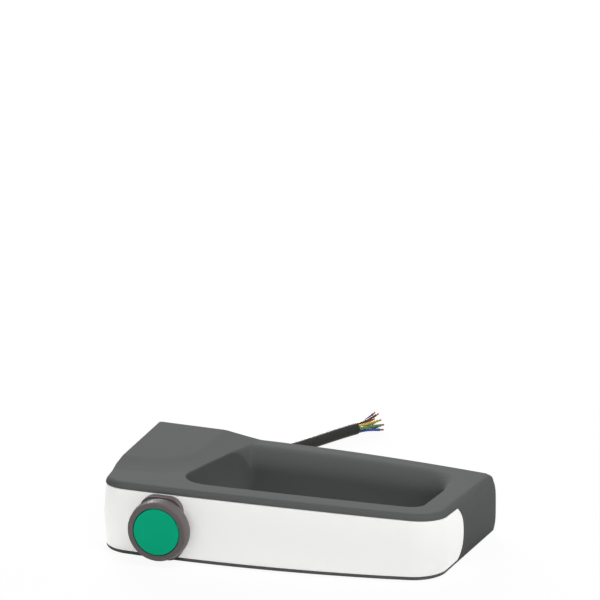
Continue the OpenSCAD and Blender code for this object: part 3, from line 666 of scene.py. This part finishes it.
over = 1  # cutters reach this far past the faces that they open
gripShell = buildShell()
pockets = [bore("pocket", x, inserts["z"], -inserts["depth"], over, inserts["width"])
           for x in (-inserts["spacing"] / 2, inserts["spacing"] / 2)]
carve(gripShell, [
    buildStrip("seat", 3 * over, coverStrip["wall"] + coverStrip["gap"], coverStrip["gap"], 0, 0),
    bore("well", buttonX, buttonZ, seatY - over, seatY + button["wellDepth"], button["well"]),
    addBox("bay", (bayLeft, seatY + button["wellDepth"] - 2 * over, bayLow), (bayRight, over, bayHigh)),
    addBox("ledge", (bayLeft - button["plateSide"], -button["plateThick"], bayLow - button["plateEnd"]),
           (bayRight + button["plateSide"], over, bayHigh + button["plateEnd"])),
    *pockets])
addPiece(gripShell, "grip", "grip", ["grip_body"])
print("grip shell:", len(gripShell.data.polygons), "faces")

# Light cover, flush with the wall
coverShell = buildStrip("coverShell", 0, coverStrip["wall"], 0, coverStrip["topGap"], coverStrip["edge"])
carve(coverShell, [bore("hole", buttonX, buttonZ, coverFace - over, seatY + over, button["well"])])
addPiece(coverShell, "cover", "grip", ["light_cover"])
print("cover shell:", len(coverShell.data.polygons), "faces")

# Bezel ring and cap of the button
bezel = {"width": 30.2, "depth": 6.1, "hole": 7.3, "web": 1, "rim": 0.8, "flare": 0.6, "belt": 2.4,
         "soft": 0.3}
cap = {"width": 22.7, "thick": 2, "gap": 0.4, "ahead": 0.4, "soft": 0.45, "backSoft": 0.1, "pole": 0.05}


def softened(corners, closed):  # corners are (x, y, radius)
    section = []
    for k, (x, y, radius) in enumerate(corners):
        if radius and (closed or 0 < k < len(corners) - 1):
            before, after = corners[k - 1][:2], corners[(k + 1) % len(corners)][:2]
            section += cornerArc(before, (x, y), after, radius, steps=8).tolist()
        else:
            section.append((x, y))
    return section


capFace = coverFace - button["capStand"]
bezelBack = capFace + cap["ahead"] + bezel["depth"]
capR = cap["width"] / 2
outerR, innerR = bezel["width"] / 2, capR + cap["gap"]
bezelTurn = addTurned("bezelTurn", softened([
    (bezel["hole"], 0, 0), (outerR, 0, bezel["soft"]), (outerR, bezel["belt"], bezel["soft"]),
    (outerR - bezel["flare"], bezel["depth"], bezel["rim"]), (innerR, bezel["depth"], bezel["soft"]),
    (innerR, bezel["web"], 0), (bezel["hole"], bezel["web"], 0)], True), buttonX, bezelBack, buttonZ, True)
addPiece(bezelTurn, "bezel", "grip", ["bezel_ring"])
capTurn = addTurned("capTurn", softened([
    (cap["pole"], 0, 0), (capR, 0, cap["backSoft"]), (capR, cap["thick"], cap["soft"]),
    (cap["pole"], cap["thick"], 0)], False), buttonX, capFace + cap["thick"], buttonZ, False)
addPiece(capTurn, "cap", "button", ["button_cap"])

# Return spring between the cap and its seat
spring = {"width": 11.6, "wire": 0.9, "turns": 4, "seat": 4.2, "gap": 0.11, "travel": 3, "sides": 10,
          "steps": 36}
springSeat = bezelBack + spring["seat"]
wireR = spring["wire"] / 2
springEnds = (capFace + cap["thick"] + wireR + spring["gap"], springSeat - wireR - spring["gap"])
coilRings = spring["turns"] * spring["steps"] + 1
coilPoints = []
for t in np.linspace(0, 1, coilRings):
    around = math.tau * spring["turns"] * t
    for n in range(spring["sides"]):
        a = math.tau * n / spring["sides"]
        r = spring["width"] / 2 + wireR * math.cos(a)
        along = lerp(*springEnds, t) + wireR * math.sin(a)
        coilPoints.append((buttonX + r * math.cos(around), along, buttonZ + r * math.sin(around)))
coilFaces = ringFaces(coilRings, spring["sides"], False)
coilEnd = range(len(coilPoints) - spring["sides"], len(coilPoints))
coilFaces += [tuple(range(spring["sides"]))[::-1], tuple(coilEnd)]
springCoil = addMesh("springCoil", coilPoints, coilFaces)
addPiece(springCoil, "steel", "grip", ["return_spring"], sharp=60)
springLength = springSeat - capFace - cap["thick"]
layOut([(buttonX, springSeat, buttonZ)])[0]
1 - spring["travel"] / springLength
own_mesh(springCoil)
print("button: cap, bezel and spring")

# Floor, light and background
studio = {"floor": 3.0, "drop": 0.0002, "paper": 0.92, "floorWhite": 0.93, "world": 0.04}
lamps = {  # turn from the front, rise, distance, size, power
    "backLamp": (-150, 15, 2.0, 1.0, 64.0),
    "topLamp": (75, 68, 2.0, 1.0, 27.0),
    "frontLamp": (-15, 14, 2.2, 1.4, 7.4),
}
for name, (lampTurn, lampRise, away, size, power) in lamps.items():
    a, e = math.radians(lampTurn), math.radians(lampRise)
    way = Vector((math.sin(a) * math.cos(e), -math.cos(a) * math.cos(e), math.sin(e)))
    data = bpy.data.lights.new(name, "AREA")
    data.size = size
    data.energy = power
    lamp = bpy.data.objects.new(name, data)
    lamp.location = way * away
    lamp.rotation_euler = way.to_track_quat("Z", "Y").to_euler()
    scene.collection.objects.link(lamp)


def seenRays(kit):  # 1 for what the camera sees, straight or through a reflection or a clear piece
    straight, mirrored, through = (kit.add("LightPath", out=name)
                                   for name in ("Is Camera Ray", "Is Glossy Ray", "Is Transmission Ray"))
    return kit.add("Clamp", {}, {"Value": straight + mirrored + through})


floorKit = Finish("paleFloor")
paper = floorKit.add("BsdfDiffuse", {}, {"Color": (*[studio["paper"]] * 3, 1)})
glow = floorKit.add("Emission", {}, {"Color": (1, 1, 1, 1), "Strength": 1.0})
pale = floorKit.add("MixShader", {}, {0: seenRays(floorKit) * studio["floorWhite"], 1: paper, 2: glow})
underside = floorKit.add("NewGeometry", out="Backfacing")  # the floor is clear from below
clear = floorKit.add("BsdfTransparent")
floorFinish = floorKit.close(floorKit.add("MixShader", {}, {0: underside, 1: pale, 2: clear}))
edge = studio["floor"]
floorCorners = [(x * edge, y * edge, -studio["drop"]) for x, y in ((-1, -1), (1, -1), (1, 1), (-1, 1))]
floorMesh = bpy.data.meshes.new("floor")
floorMesh.from_pydata(floorCorners, [], [(0, 1, 2, 3)])
floorMesh.materials.append(floorFinish)
floor = bpy.data.objects.new("floor", floorMesh)
scene.collection.objects.link(floor)

sky = Finish("paleRoom", world=True)
plain = sky.add("Background", {}, {"Color": (1, 1, 1, 1), "Strength": studio["world"]})
white = sky.add("Background", {}, {"Color": (1, 1, 1, 1), "Strength": 1.0})
scene.world = sky.close(sky.add("MixShader", {}, {0: seenRays(sky), 1: plain, 2: white}))
print("stage:", len(lamps), "lamps")
